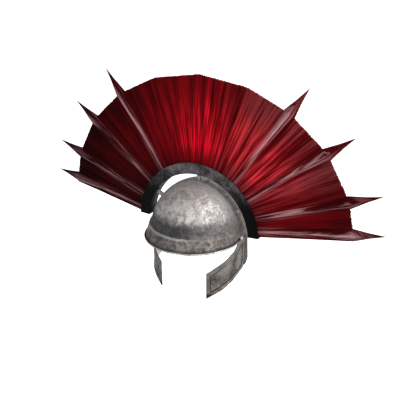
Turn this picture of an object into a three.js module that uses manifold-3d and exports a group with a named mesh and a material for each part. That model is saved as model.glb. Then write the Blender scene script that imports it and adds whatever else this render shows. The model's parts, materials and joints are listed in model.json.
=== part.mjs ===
// A Roman legionary's iron helmet with a crest that runs from side to side, in millimetres, +Z up.
// The wearer faces -Y and the helmet's left is +X. The origin is the middle of the head opening,
// level with the brow rim, and the crest stands in the plane y = 0.
import * as THREE from "three";
import { mergeVertices } from "three/addons/utils/BufferGeometryUtils.js";
import Module from "manifold-3d";

const wasm = await Module();
wasm.setup();

// Space left between pieces that touch on the real helmet
const FIT_GAP = 0.3;

// Bowl: heights from the plane of the brow rim, reaches from the crest plane, all to its outside
const BOWL_WALL = 2;
const CROWN_HEIGHT = 114;
const CROWN_HALF_WIDTH = 101;
const CROWN_REACH = 110;
const CROWN_BASE_HEIGHT = 10.5;
const COVE_HEIGHT = 38;
const RIDGE_HEIGHT = 22;
const RIDGE_HALF_WIDTH = 103.5;
const RIDGE_FRONT = 111;
const RIDGE_BACK = 112;
const RIDGE_SHOULDER = 7;
const BROW_HALF_WIDTH = 102;
const BROW_FRONT = 126;
const BROW_BACK = 113;
const BROW_SHOULDER = 25;
const NECK_DROP = 74.5;
const NECK_HALF_WIDTH = 99.5;
const NECK_BACK = 130;
const RIM_BEAD_RADIUS = 2.4;
const COVE_FLARE = 1.5;
const NECK_FLARE = 1.6;

// Ear opening, between the brow rim and the neck guard
const EAR_RISE = 5.6;
const EAR_FRONT = 9;
const EAR_REAR = 20.5;
const EAR_SLOPE = 13;
const NECK_CORNER_RADIUS = 7;

// Crest box: an iron channel bent to an arc, open outward, held clear of the crown by a rise
const ARC_HEIGHT = 5.5;
const BOX_RISE = 13.8;
const BOX_THICKNESS = 23.3;
const BOX_DEPTH = 27.4;
const BOX_HALF_ANGLE = 86.5;
const BOX_FLOOR = 3;
const BOX_WALL = 2.5;
const BOX_END_WALL = 3;

// Posts that carry the crest box on the bowl, at angles from the top
const POST_RADIUS = 5.5;
const SIDE_POST_ANGLE = 59;

// Crest of stiff hair: radii from the arc's centre, angles in degrees from the top
const CREST_RADIUS = 324;
const CREST_RIM_THICKNESS = 7;
const CREST_END_ANGLE = 82.3;
const LOCK_TIP_RADIUS = 402;
const LOCK_WIDTH = 26;
const LOCK_THICKNESS = 30;
const LOCK_ROOT_THICKNESS = 17;
const LOCK_ROOT_WIDTH = 7;
const STRIP_RELIEF = 1.6;
const STRIPS_PER_PANEL = 6;
const PANEL_SPAN = 0.2;

// Cheek guards: reaches from the ear opening's rear edge, drops from the brow plane
const GUARD_CLEARANCE = 1.5;
const GUARD_REACH = 88;
const GUARD_DROP = 123;
const GUARD_TURN_IN = 44;
const GUARD_CURVE = 5.5;
const GUARD_THICKNESS = 2.4;
const PANEL_RECESS = 0.9;
const BORDER_WIDTH = 8.5;

// Hinges of the cheek guards
const BARREL_RADIUS = 3;
const PIN_RADIUS = 1.2;
const LEAF_THICKNESS = 1.5;
const LEAF_HEIGHT = 18;
const WEB_HEIGHT = 9;
const HINGE_WIDTH = 25.7;
const HINGE_END_MARGIN = 0.5;

// Places worked out from the sizes above
const BOX_INNER_RADIUS = CROWN_HEIGHT - ARC_HEIGHT + BOX_RISE;
const BOX_RADIUS = BOX_INNER_RADIUS + BOX_THICKNESS;
const GUARD_REAR = EAR_REAR - GUARD_CLEARANCE;
const HINGE_MIDDLE = GUARD_REAR - HINGE_END_MARGIN - HINGE_WIDTH / 2;
const HINGE_HEIGHT = EAR_RISE - FIT_GAP - BARREL_RADIUS;
const GUARD_HALF_WIDTH = sideHalfWidth(HINGE_MIDDLE, EAR_RISE, BOWL_WALL + FIT_GAP);
const HINGE_HALF_WIDTH = GUARD_HALF_WIDTH - BARREL_RADIUS;

// Fineness of the curves, the span over which a cheek guard's slope is measured, the nearest that
// one of its bends comes to a corner, the slack within which two places are one, the least
// share of a corner's mitre that is allowed for, the turn that parts the two points at a ring's
// shoulder, and a length that reaches past the bowl and its cheek guards
const QUARTER_STEPS = 12;
const CROWN_STEPS = 9;
const ROUND_SIDES = 16;
const ARC_SEGMENTS = 30;
const BEAD_SIDES = 8;
const BEAD_STEPS = 72;
const GUARD_STEPS = 20;
const SLOPE_SPAN = 1;
const BEND_GAP = 0.5;
const ROUNDING = 1e-6;
const MITRE_LIMIT = 0.5;
const SLOPE_STEPS = 6;
const SHOULDER_TURN = 0.03;
const BEYOND = 2 * (NECK_BACK + GUARD_DROP);

function degrees(angle) {
  return (angle * Math.PI) / 180;
}

function mix(a, b, share) {
  return a + (b - a) * share;
}

// Conversions between three.js geometry and solids that can be joined and cut
function toSolid(geometry) {
  const bare = geometry.clone();
  bare.deleteAttribute("normal");
  bare.deleteAttribute("uv");
  const merged = mergeVertices(bare, 1e-4);
  return new wasm.Manifold(
    new wasm.Mesh({
      numProp: 3,
      vertProperties: merged.attributes.position.array,
      triVerts: new Uint32Array(merged.index.array),
    }),
  );
}

function toGeometry(solid) {
  const mesh = solid.getMesh();
  const geometry = new THREE.BufferGeometry();
  geometry.setAttribute("position", new THREE.BufferAttribute(mesh.vertProperties, 3));
  geometry.setIndex(new THREE.BufferAttribute(mesh.triVerts, 1));
  geometry.computeVertexNormals();
  return geometry;
}

// A closed skin over rings of equal length, listed from the outer top downwards; a ring of one
// point is a pole
function skin(rings) {
  const positions = [];
  const index = [];
  const starts = rings.map((ring) => {
    const start = positions.length / 3;
    ring.forEach((p) => positions.push(p.x, p.y, p.z));
    return start;
  });
  for (let k = 0; k + 1 < rings.length; k++) {
    const upper = rings[k];
    const lower = rings[k + 1];
    const sides = Math.max(upper.length, lower.length);
    for (let j = 0; j < sides; j++) {
      const next = (j + 1) % sides;
      const a = starts[k] + (upper.length > 1 ? j : 0);
      const b = starts[k] + (upper.length > 1 ? next : 0);
      const c = starts[k + 1] + (lower.length > 1 ? j : 0);
      const d = starts[k + 1] + (lower.length > 1 ? next : 0);
      if (a !== b) index.push(a, b, c);
      if (c !== d) index.push(b, d, c);
    }
  }
  const geometry = new THREE.BufferGeometry();
  geometry.setAttribute("position", new THREE.Float32BufferAttribute(positions, 3));
  geometry.setIndex(index);
  return geometry;
}

// Flat outlines pushed through the helmet along one axis
function extrudeAcross(shape, halfDepth) {
  const options = { depth: 2 * halfDepth, bevelEnabled: false, curveSegments: ARC_SEGMENTS };
  const geometry = new THREE.ExtrudeGeometry(shape, options);
  return toSolid(geometry.rotateX(Math.PI / 2).translate(0, halfDepth, 0));
}

// The shape's x is the helmet's y, and its y is the helmet's height
function extrudeSideways(shape, left, right) {
  const geometry = new THREE.ExtrudeGeometry(shape, { depth: right - left, bevelEnabled: false });
  return toSolid(geometry.rotateX(Math.PI / 2).rotateZ(Math.PI / 2).translate(left, 0, 0));
}

function boxSolid(xRange, yRange, zRange) {
  const size = [xRange, yRange, zRange].map(([low, high]) => high - low);
  const middle = [xRange, yRange, zRange].map(([low, high]) => (low + high) / 2);
  return toSolid(new THREE.BoxGeometry(...size).translate(...middle));
}

// A round bar along y
function barAlongY(radius, x, z, [front, rear]) {
  const geometry = new THREE.CylinderGeometry(radius, radius, rear - front, ROUND_SIDES);
  return toSolid(geometry.translate(x, (front + rear) / 2, z));
}

// The bowl's level rings: a round back, a straight side of the shoulder's length and a round front
function crownRing(height, inset) {
  const lift = (height - CROWN_BASE_HEIGHT) / (CROWN_HEIGHT - CROWN_BASE_HEIGHT - inset);
  const share = Math.sqrt(Math.max(0, 1 - lift * lift));
  const reach = (CROWN_REACH - inset) * share;
  return { half: (CROWN_HALF_WIDTH - inset) * share, front: reach, back: reach, shoulder: 0 };
}

function mixRings(a, b, share) {
  return {
    half: mix(a.half, b.half, share),
    front: mix(a.front, b.front, share),
    back: mix(a.back, b.back, share),
    shoulder: mix(a.shoulder, b.shoulder, share),
  };
}

function ringAt(height, inset) {
  const ridge = {
    half: RIDGE_HALF_WIDTH - inset,
    front: RIDGE_FRONT - inset,
    back: RIDGE_BACK - inset,
    shoulder: RIDGE_SHOULDER,
  };
  const brow = {
    half: BROW_HALF_WIDTH - inset,
    front: BROW_FRONT - inset,
    back: BROW_BACK - inset,
    shoulder: BROW_SHOULDER,
  };
  const neck = {
    half: NECK_HALF_WIDTH - inset,
    front: BROW_FRONT - inset,
    back: NECK_BACK - inset,
    shoulder: BROW_SHOULDER,
  };
  if (height >= COVE_HEIGHT) return crownRing(height, inset);
  if (height >= RIDGE_HEIGHT) {
    const down = (COVE_HEIGHT - height) / (COVE_HEIGHT - RIDGE_HEIGHT);
    return mixRings(crownRing(COVE_HEIGHT, inset), ridge, Math.pow(down, COVE_FLARE));
  }
  if (height >= 0) return mixRings(ridge, brow, 1 - height / RIDGE_HEIGHT);
  return mixRings(brow, neck, Math.pow(-height / NECK_DROP, NECK_FLARE));
}

// Half of a ring runs from the middle of the back, round the left side, to the middle of the front
function halfRing(ring, height) {
  const points = [];
  for (let i = 0; i <= QUARTER_STEPS; i++) {
    const turn = ((i / QUARTER_STEPS) * Math.PI) / 2;
    points.push(new THREE.Vector3(ring.half * Math.sin(turn), ring.back * Math.cos(turn), height));
  }
  for (let i = 0; i <= QUARTER_STEPS; i++) {
    const turn = mix(SHOULDER_TURN, Math.PI / 2, i / QUARTER_STEPS);
    const forward = ring.shoulder + (ring.front - ring.shoulder) * Math.sin(turn);
    points.push(new THREE.Vector3(ring.half * Math.cos(turn), -forward, height));
  }
  points[0].x = 0;
  points[points.length - 1].x = 0;
  return points;
}

function wholeRing(height, inset) {
  const half = halfRing(ringAt(height, inset), height);
  const other = half
    .slice(1, -1)
    .reverse()
    .map((p) => new THREE.Vector3(-p.x, p.y, p.z));
  return [...half, ...other];
}

// Heights of the rings, from just under the top to the bottom of the neck guard
function ringHeights(inset) {
  const heights = [];
  const top = CROWN_HEIGHT - CROWN_BASE_HEIGHT - inset;
  const coveTurn = Math.asin((COVE_HEIGHT - CROWN_BASE_HEIGHT) / top);
  for (let i = 1; i <= CROWN_STEPS; i++) {
    const turn = mix(Math.PI / 2, coveTurn, i / CROWN_STEPS);
    heights.push(CROWN_BASE_HEIGHT + top * Math.sin(turn));
  }
  heights[CROWN_STEPS - 1] = COVE_HEIGHT;
  for (const share of [0.4, 0.75, 1]) heights.push(mix(COVE_HEIGHT, RIDGE_HEIGHT, share));
  for (const share of [0.5, 1]) heights.push(mix(RIDGE_HEIGHT, 0, share));
  for (const share of [0.3, 0.55, 0.78, 1]) heights.push(-NECK_DROP * share);
  return heights;
}

// The bowl's form as a filled solid, with its surface set in by an amount
function bowlForm(inset) {
  const pole = [new THREE.Vector3(0, 0, CROWN_HEIGHT - inset)];
  const floor = [new THREE.Vector3(0, 0, -NECK_DROP)];
  return toSolid(skin([pole, ...ringHeights(inset).map((h) => wholeRing(h, inset)), floor]));
}

// The bowl's wall, open below
function bowlShell() {
  const outerPole = [new THREE.Vector3(0, 0, CROWN_HEIGHT)];
  const innerPole = [new THREE.Vector3(0, 0, CROWN_HEIGHT - BOWL_WALL)];
  const outer = ringHeights(0).map((h) => wholeRing(h, 0));
  const inner = ringHeights(BOWL_WALL).map((h) => wholeRing(h, BOWL_WALL));
  return toSolid(skin([outerPole, ...outer, ...inner.reverse(), innerPole]));
}

// Height of the wall's lower edge ahead of the neck guard: level at the brow, raised over the ear
function edgeHeight(y) {
  const share = THREE.MathUtils.clamp((y + EAR_FRONT + EAR_SLOPE) / EAR_SLOPE, 0, 1);
  return EAR_RISE * share * share * (3 - 2 * share);
}

// What is cut away under the brow rim and the ears, seen from the side
function faceOpening() {
  const shape = new THREE.Shape();
  shape.moveTo(-BEYOND, 0);
  for (let i = 0; i <= SLOPE_STEPS; i++) {
    const y = mix(-EAR_FRONT - EAR_SLOPE, -EAR_FRONT, i / SLOPE_STEPS);
    shape.lineTo(y, edgeHeight(y));
  }
  shape.lineTo(EAR_REAR, EAR_RISE);
  shape.lineTo(EAR_REAR, -NECK_DROP + NECK_CORNER_RADIUS);
  shape.absarc(
    EAR_REAR + NECK_CORNER_RADIUS,
    -NECK_DROP + NECK_CORNER_RADIUS,
    NECK_CORNER_RADIUS,
    Math.PI,
    1.5 * Math.PI,
    false,
  );
  shape.lineTo(EAR_REAR + NECK_CORNER_RADIUS, -BEYOND);
  shape.lineTo(-BEYOND, -BEYOND);
  return extrudeSideways(shape, -BEYOND, BEYOND);
}

// Half width of the bowl at a place along its side
function sideHalfWidth(y, height, inset) {
  const ring = ringAt(height, inset);
  if (y > 0) return ring.half * Math.sqrt(1 - (y / ring.back) ** 2);
  const forward = Math.max(0, -y - ring.shoulder) / (ring.front - ring.shoulder);
  return ring.half * Math.sqrt(Math.max(0, 1 - forward * forward));
}

// The rim is rolled outward into a bead that runs round the brow and ends just short of each ear,
// clear of the cheek guards when they swing out
function rimBead() {
  const inset = BOWL_WALL - RIM_BEAD_RADIUS;
  const left = [];
  for (let i = 1; i <= SLOPE_STEPS; i++) {
    const y = -EAR_FRONT - EAR_SLOPE * (i / SLOPE_STEPS);
    const height = edgeHeight(y);
    left.push(new THREE.Vector3(sideHalfWidth(y, height, inset), y, height));
  }
  const front = halfRing(ringAt(0, inset), 0).slice(QUARTER_STEPS + 2);
  const half = [...left, ...front];
  const other = half
    .slice(0, -1)
    .reverse()
    .map((p) => new THREE.Vector3(-p.x, p.y, p.z));
  const path = new THREE.CatmullRomCurve3([...half, ...other], false, "centripetal");
  const section = new THREE.Shape();
  for (let i = 0; i < BEAD_SIDES; i++) {
    const turn = (i / BEAD_SIDES) * 2 * Math.PI;
    const point = [RIM_BEAD_RADIUS * Math.cos(turn), RIM_BEAD_RADIUS * Math.sin(turn)];
    if (i === 0) section.moveTo(...point);
    else section.lineTo(...point);
  }
  const options = { steps: BEAD_STEPS, extrudePath: path, bevelEnabled: false };
  return toSolid(new THREE.ExtrudeGeometry(section, options));
}

function bowl() {
  return bowlShell().subtract(faceOpening()).add(rimBead());
}

// A block bent to the crest's arc
function arcBlock(innerRadius, outerRadius, halfDepth, halfAngle) {
  const start = Math.PI / 2 - degrees(halfAngle);
  const end = Math.PI / 2 + degrees(halfAngle);
  const shape = new THREE.Shape();
  shape.absarc(0, ARC_HEIGHT, outerRadius, start, end, false);
  shape.absarc(0, ARC_HEIGHT, innerRadius, end, start, true);
  return extrudeAcross(shape, halfDepth);
}

// Angle that a length covers at a radius
function angleOf(length, radius) {
  return (length / radius) * (180 / Math.PI);
}

function crestBox() {
  const block = arcBlock(BOX_INNER_RADIUS, BOX_RADIUS, BOX_DEPTH / 2, BOX_HALF_ANGLE);
  const floorRadius = BOX_INNER_RADIUS + BOX_FLOOR;
  const halfAngle = BOX_HALF_ANGLE - angleOf(BOX_END_WALL, floorRadius);
  const slot = arcBlock(floorRadius, BOX_RADIUS + BOX_FLOOR, BOX_DEPTH / 2 - BOX_WALL, halfAngle);
  return block.subtract(slot);
}

// A post stands on the bowl and ends under the crest box
function crestPost(angle) {
  const length = BOX_INNER_RADIUS - CROWN_HALF_WIDTH / 2;
  const geometry = new THREE.CylinderGeometry(POST_RADIUS, POST_RADIUS, length, ROUND_SIDES);
  geometry.rotateX(Math.PI / 2).translate(0, 0, BOX_INNER_RADIUS - length / 2);
  geometry.rotateY(degrees(angle)).translate(0, 0, ARC_HEIGHT);
  const seat = BOX_INNER_RADIUS - FIT_GAP;
  const inside = new THREE.CylinderGeometry(seat, seat, BOX_DEPTH, ROUND_SIDES * 6);
  const bounded = toSolid(geometry).intersect(toSolid(inside.translate(0, 0, ARC_HEIGHT)));
  return bounded.subtract(bowlForm(-FIT_GAP));
}

// The crest's outline on one side: the angle from the top as a share of the crest's end angle,
// the rim as a share of the crest's radius, and the tip as a share of the locks' radius (0 where
// the outline only turns a corner)
const CREST_OUTLINE = [
  { turn: 0, rim: 1, tip: 0 },
  { turn: 0.227, rim: 1.005, tip: 0 },
  { turn: 0.434, rim: 1.021, tip: 0.981 },
  { turn: 0.645, rim: 1.043, tip: 0.999 },
  { turn: 0.845, rim: 1.05, tip: 1.012 },
  { turn: 0.976, rim: 1.039, tip: 0.996 },
];

function crestPoint(angle, radius, y) {
  const turn = degrees(angle);
  return new THREE.Vector3(radius * Math.sin(turn), y, ARC_HEIGHT + radius * Math.cos(turn));
}

// The outline's corners from one end of the crest to the other, ending just past the last locks
function crestCorners() {
  const end = { ...CREST_OUTLINE[CREST_OUTLINE.length - 1], turn: 1, tip: 0 };
  const left = [...CREST_OUTLINE, end];
  const right = left
    .slice(1)
    .reverse()
    .map((row) => ({ ...row, turn: -row.turn }));
  return [...right, ...left];
}

// The fan's thinning from the box to the rim: how far out a row lies, and how much of the change in
// thickness is done there
const FAN_ROWS = [
  { out: 0.25, thinned: 0.3 },
  { out: 0.6, thinned: 0.7 },
];

// The fan is laid in strips from the box to the rim; every other edge between strips stands proud
function crestFan() {
  const seatRadius = BOX_INNER_RADIUS + BOX_FLOOR + FIT_GAP;
  const rootAngle = BOX_HALF_ANGLE - angleOf(BOX_END_WALL + FIT_GAP, seatRadius);
  const rootHalf = BOX_DEPTH / 2 - BOX_WALL - FIT_GAP;
  const rimHalf = CREST_RIM_THICKNESS / 2;
  const corners = crestCorners();
  const edges = [];
  for (let c = 0; c + 1 < corners.length; c++) {
    const from = corners[c];
    const to = corners[c + 1];
    const start = crestPoint(from.turn * CREST_END_ANGLE, from.rim * CREST_RADIUS, 0);
    const end = crestPoint(to.turn * CREST_END_ANGLE, to.rim * CREST_RADIUS, 0);
    const span = Math.abs(to.turn - from.turn);
    const strips = Math.max(1, Math.round(STRIPS_PER_PANEL * Math.min(1, span / PANEL_SPAN)));
    for (let i = 0; i < strips; i++) {
      const rim = start.clone().lerp(end, i / strips);
      edges.push({ rim, turn: mix(from.turn, to.turn, i / strips) });
    }
  }
  const last = corners[corners.length - 1];
  edges.push({ rim: crestPoint(CREST_END_ANGLE, last.rim * CREST_RADIUS, 0), turn: 1 });
  const rings = edges.map(({ rim, turn }, i) => {
    const seat = crestPoint(turn * rootAngle, seatRadius, 0);
    const mouth = crestPoint(turn * rootAngle, BOX_RADIUS, 0);
    const proud = i % 2 === 1 ? STRIP_RELIEF / 2 : 0;
    const section = [
      { at: seat, half: rootHalf },
      { at: mouth, half: rootHalf },
      ...FAN_ROWS.map(({ out, thinned }) => ({
        at: mouth.clone().lerp(rim, out),
        half: mix(rootHalf, rimHalf, thinned) + proud,
      })),
      { at: rim, half: rimHalf + proud / 2 },
    ];
    const back = section.map((s) => new THREE.Vector3(s.at.x, s.half, s.at.z));
    const front = section.map((s) => new THREE.Vector3(s.at.x, -s.half, s.at.z)).reverse();
    return [...back, ...front];
  });
  const ends = [rings[0], rings[rings.length - 1]].map((ring) => {
    const sum = ring.reduce((total, p) => total.add(p), new THREE.Vector3());
    return [sum.divideScalar(ring.length)];
  });
  return toSolid(skin([ends[0], ...rings, ends[1]]));
}

// A lock's rows from the box to the rim (out 0 to 1) and on to its tip (out 2), with its width and
// thickness as shares of the way from the root's to the rim's; beyond the rim, of the rim's own
const LOCK_ROWS = [
  { out: 0, width: 0, thickness: 0 },
  { out: 0.5, width: 0.45, thickness: 0.35 },
  { out: 1, width: 1, thickness: 1 },
  { out: 1.5, width: 0.42, thickness: 0.42 },
];

// A lock is a four-sided spike: slim at the box, broad and thick at the rim, drawn to a point
function crestLock(row) {
  const angle = row.turn * CREST_END_ANGLE;
  const rimRadius = row.rim * CREST_RADIUS;
  const tipRadius = row.tip * LOCK_TIP_RADIUS;
  const rings = LOCK_ROWS.map((lock) => {
    const past = lock.out > 1;
    const radius = past
      ? mix(rimRadius, tipRadius, lock.out - 1)
      : mix(BOX_RADIUS + FIT_GAP, rimRadius, lock.out);
    const width = mix(past ? 0 : LOCK_ROOT_WIDTH, LOCK_WIDTH, lock.width);
    const thickness = mix(past ? 0 : LOCK_ROOT_THICKNESS, LOCK_THICKNESS, lock.thickness);
    const aside = angleOf(width / 2, radius);
    return [
      crestPoint(angle, radius, -thickness / 2),
      crestPoint(angle - aside, radius, 0),
      crestPoint(angle, radius, thickness / 2),
      crestPoint(angle + aside, radius, 0),
    ];
  });
  const root = [crestPoint(angle, BOX_RADIUS + FIT_GAP, 0)];
  const tip = [crestPoint(angle, tipRadius, 0)];
  return toSolid(skin([tip, ...rings.reverse(), root]));
}

function crest() {
  return crestCorners()
    .filter((row) => row.tip > 0)
    .reduce((solid, row) => solid.add(crestLock(row)), crestFan());
}

// A cheek guard's edge, cut from flat sheet: the distance forward as a share of the reach, and the
// drop as a share of the whole drop
const GUARD_OUTLINE = [
  { forward: 0.3, drop: 0.022 },
  { forward: 0.38, drop: 0.1 },
  { forward: 0.5, drop: 0.165 },
  { forward: 0.618, drop: 0.195 },
  { forward: 0.766, drop: 0.278 },
  { forward: 0.908, drop: 0.39 },
  { forward: 1, drop: 0.517 },
  { forward: 1, drop: 1 },
  { forward: 0.913, drop: 0.895 },
  { forward: 0.824, drop: 0.828 },
  { forward: 0.677, drop: 0.733 },
  { forward: 0.491, drop: 0.678 },
  { forward: 0.228, drop: 0.625 },
  { forward: 0.031, drop: 0.59 },
  { forward: 0.02, drop: 0.45 },
  { forward: 0, drop: 0.26 },
  { forward: 0, drop: 0.022 },
];

// The guard is bent round an upright curve: half width of its outside at a place along the side
function guardHalfWidth(y) {
  const share = Math.max(0, GUARD_REAR - y) / GUARD_REACH;
  return GUARD_HALF_WIDTH - GUARD_TURN_IN * Math.pow(share, GUARD_CURVE);
}

// Places along that curve, with the way out and the length of sheet from the rear edge to each
function guardCurve() {
  const curve = [];
  let length = 0;
  for (let i = 0; i <= GUARD_STEPS; i++) {
    const y = GUARD_REAR - GUARD_REACH * (i / GUARD_STEPS);
    const point = new THREE.Vector2(guardHalfWidth(y), y);
    const rise = guardHalfWidth(y + SLOPE_SPAN / 2) - guardHalfWidth(y - SLOPE_SPAN / 2);
    const outward = new THREE.Vector2(SLOPE_SPAN, -rise).normalize();
    if (i > 0) length += point.distanceTo(curve[i - 1].point);
    curve.push({ point, outward, length });
  }
  return curve;
}

// Looks up one column of the curve from another
function alongCurve(curve, read, write, value) {
  for (let i = 1; i < curve.length; i++) {
    const low = read(curve[i - 1]);
    const high = read(curve[i]);
    const share = (value - low) / (high - low);
    const found = mix(write(curve[i - 1]), write(curve[i]), share);
    if (share <= 1 || i === curve.length - 1) return found;
  }
  return value;
}

// The outline moved inward by a width, each corner where its two moved edges meet
function insetOutline(points, width) {
  return points.map((point, i) => {
    const before = points[(i + points.length - 1) % points.length];
    const after = points[(i + 1) % points.length];
    const arriving = point.clone().sub(before).normalize();
    const leaving = after.clone().sub(point).normalize();
    const inward = new THREE.Vector2(-arriving.y - leaving.y, arriving.x + leaving.x).normalize();
    const square = inward.dot(new THREE.Vector2(-leaving.y, leaving.x));
    return point.clone().addScaledVector(inward, width / Math.max(square, MITRE_LIMIT));
  });
}

// The top and the bottom of a flat outline at one place along it
function edgesAt(outline, across) {
  const heights = [];
  outline.forEach((from, i) => {
    const to = outline[(i + 1) % outline.length];
    const low = Math.min(from.x, to.x) - ROUNDING;
    const high = Math.max(from.x, to.x) + ROUNDING;
    if (across < low || across > high) return;
    if (Math.abs(to.x - from.x) < ROUNDING) heights.push(from.y, to.y);
    else heights.push(mix(from.y, to.y, (across - from.x) / (to.x - from.x)));
  });
  return [Math.max(...heights), Math.min(...heights)];
}

// A flat outline made a plate between two depths below the guard's outside, and bent to its curve
function bentPlate(outline, outerDepth, innerDepth) {
  const curve = guardCurve();
  const length = (entry) => entry.length;
  const corners = outline.map((p) => -p.x);
  const within = (along) => along > Math.min(...corners) && along < Math.max(...corners);
  const free = (along) => corners.every((corner) => Math.abs(corner - along) > BEND_GAP);
  const bends = curve.map(length).filter((along) => within(along) && free(along));
  const stations = [...corners, ...bends]
    .sort((a, b) => a - b)
    .filter((along, i, all) => i === 0 || along - all[i - 1] > ROUNDING);
  const rings = stations.map((along) => {
    const at = (read) => alongCurve(curve, length, read, along);
    const outside = new THREE.Vector2(at((entry) => entry.point.x), at((entry) => entry.point.y));
    const out = new THREE.Vector2(at((entry) => entry.outward.x), at((entry) => entry.outward.y));
    const [top, bottom] = edgesAt(outline, -along);
    const outer = outside.clone().addScaledVector(out, -outerDepth);
    const inner = outside.clone().addScaledVector(out, -innerDepth);
    return [
      new THREE.Vector3(outer.x, outer.y, top),
      new THREE.Vector3(inner.x, inner.y, top),
      new THREE.Vector3(inner.x, inner.y, bottom),
      new THREE.Vector3(outer.x, outer.y, bottom),
    ];
  });
  const middle = ([a, , c]) => [a.clone().lerp(c, 0.5)];
  return toSolid(skin([middle(rings[0]), ...rings, middle(rings[rings.length - 1])]));
}

function hingeRanges() {
  const length = (HINGE_WIDTH - 2 * FIT_GAP) / 3;
  const rear = HINGE_MIDDLE + HINGE_WIDTH / 2;
  const front = HINGE_MIDDLE - HINGE_WIDTH / 2;
  return {
    whole: [front, rear],
    front: [front, front + length],
    middle: [front + length + FIT_GAP, rear - length - FIT_GAP],
    rear: [rear - length, rear],
  };
}

function barrel(range) {
  return barAlongY(BARREL_RADIUS, HINGE_HALF_WIDTH, HINGE_HEIGHT, range);
}

function pinBore() {
  return barAlongY(PIN_RADIUS + FIT_GAP, HINGE_HALF_WIDTH, HINGE_HEIGHT, [-BEYOND, BEYOND]);
}

function cheekGuard() {
  const curve = guardCurve();
  const place = (entry) => -entry.point.y;
  const length = (entry) => entry.length;
  const outline = GUARD_OUTLINE.map((row) => {
    const forward = alongCurve(curve, place, length, row.forward * GUARD_REACH - GUARD_REAR);
    return new THREE.Vector2(-forward, -row.drop * GUARD_DROP);
  });
  const recess = bentPlate(insetOutline(outline, BORDER_WIDTH), -PANEL_RECESS, PANEL_RECESS);
  const plate = bentPlate(outline, 0, GUARD_THICKNESS).subtract(recess);
  const ranges = hingeRanges();
  const web = boxSolid(
    [GUARD_HALF_WIDTH - GUARD_THICKNESS / 2, GUARD_HALF_WIDTH],
    ranges.middle,
    [HINGE_HEIGHT - WEB_HEIGHT, HINGE_HEIGHT],
  );
  return plate.add(web).add(barrel(ranges.middle)).subtract(pinBore());
}

// The hinge's upper leaf lies against the inside of the bowl and carries the outer two barrels
function hingeLeaf() {
  const ranges = hingeRanges();
  const face = BOWL_WALL + FIT_GAP;
  const lining = bowlForm(face).subtract(bowlForm(face + LEAF_THICKNESS));
  const area = boxSolid([0, BEYOND], ranges.whole, [HINGE_HEIGHT, HINGE_HEIGHT + LEAF_HEIGHT]);
  const swing = boxSolid(
    [0, BEYOND],
    [ranges.middle[0] - FIT_GAP, ranges.middle[1] + FIT_GAP],
    [-BEYOND, HINGE_HEIGHT + BARREL_RADIUS + FIT_GAP],
  );
  return lining
    .intersect(area)
    .subtract(swing)
    .add(barrel(ranges.front))
    .add(barrel(ranges.rear))
    .subtract(pinBore());
}

function hingePin() {
  const [front, rear] = hingeRanges().whole;
  return barAlongY(PIN_RADIUS, HINGE_HALF_WIDTH, HINGE_HEIGHT, [front, rear]);
}

// Finishes
const iron = { color: 0xa7a29c, roughness: 0.42, metalness: 0.85 };
const guardIron = { color: 0x8b827b, roughness: 0.48, metalness: 0.8 };
const darkIron = { color: 0x38353a, roughness: 0.6, metalness: 0.6 };
const postIron = { color: 0x8f908c, roughness: 0.5, metalness: 0.7 };
const redHair = { color: 0x9c1222, roughness: 0.7, metalness: 0 };

const helmet = new THREE.Group();

function place(name, solid, finish) {
  const mesh = new THREE.Mesh(toGeometry(solid), new THREE.MeshStandardMaterial(finish));
  mesh.name = name;
  helmet.add(mesh);
}

// A right-hand piece is its left-hand twin seen in a mirror
function placePair(name, solid, finish) {
  place(`${name}_left`, solid, finish);
  const mirrored = toGeometry(solid);
  const position = mirrored.getAttribute("position");
  for (let i = 0; i < position.count; i++) position.setX(i, -position.getX(i));
  const index = mirrored.getIndex();
  for (let i = 0; i < index.count; i += 3) {
    const second = index.getX(i + 1);
    index.setX(i + 1, index.getX(i + 2));
    index.setX(i + 2, second);
  }
  mirrored.computeVertexNormals();
  const mesh = new THREE.Mesh(mirrored, new THREE.MeshStandardMaterial(finish));
  mesh.name = `${name}_right`;
  helmet.add(mesh);
}

place("bowl", bowl(), iron);
place("crest_box", crestBox(), darkIron);
place("crest_post_top", crestPost(0), postIron);
placePair("crest_post", crestPost(SIDE_POST_ANGLE), postIron);
place("crest", crest(), redHair);
placePair("hinge_leaf", hingeLeaf(), postIron);
placePair("hinge_pin", hingePin(), postIron);
placePair("cheek_guard", cheekGuard(), guardIron);

export default helmet;
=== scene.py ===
import json
import math
import random
import bpy
from mathutils import Matrix, Vector, noise

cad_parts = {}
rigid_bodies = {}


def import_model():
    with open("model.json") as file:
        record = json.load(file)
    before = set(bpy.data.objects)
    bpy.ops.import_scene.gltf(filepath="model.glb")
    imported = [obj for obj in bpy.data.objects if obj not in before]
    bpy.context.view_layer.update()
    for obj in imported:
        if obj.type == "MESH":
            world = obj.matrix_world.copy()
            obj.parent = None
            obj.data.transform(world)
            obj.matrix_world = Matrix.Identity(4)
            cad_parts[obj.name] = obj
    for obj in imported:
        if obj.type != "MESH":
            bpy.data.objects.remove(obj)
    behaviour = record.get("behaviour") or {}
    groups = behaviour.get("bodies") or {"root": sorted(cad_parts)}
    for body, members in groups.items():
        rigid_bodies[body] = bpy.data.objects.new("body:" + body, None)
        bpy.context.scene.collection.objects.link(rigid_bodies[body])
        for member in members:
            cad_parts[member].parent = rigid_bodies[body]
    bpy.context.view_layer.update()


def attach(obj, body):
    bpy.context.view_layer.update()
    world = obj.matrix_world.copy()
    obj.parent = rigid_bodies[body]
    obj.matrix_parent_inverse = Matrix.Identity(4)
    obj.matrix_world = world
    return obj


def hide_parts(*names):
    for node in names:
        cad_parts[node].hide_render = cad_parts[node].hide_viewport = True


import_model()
bpy.ops.object.select_all(action="DESELECT")

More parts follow.
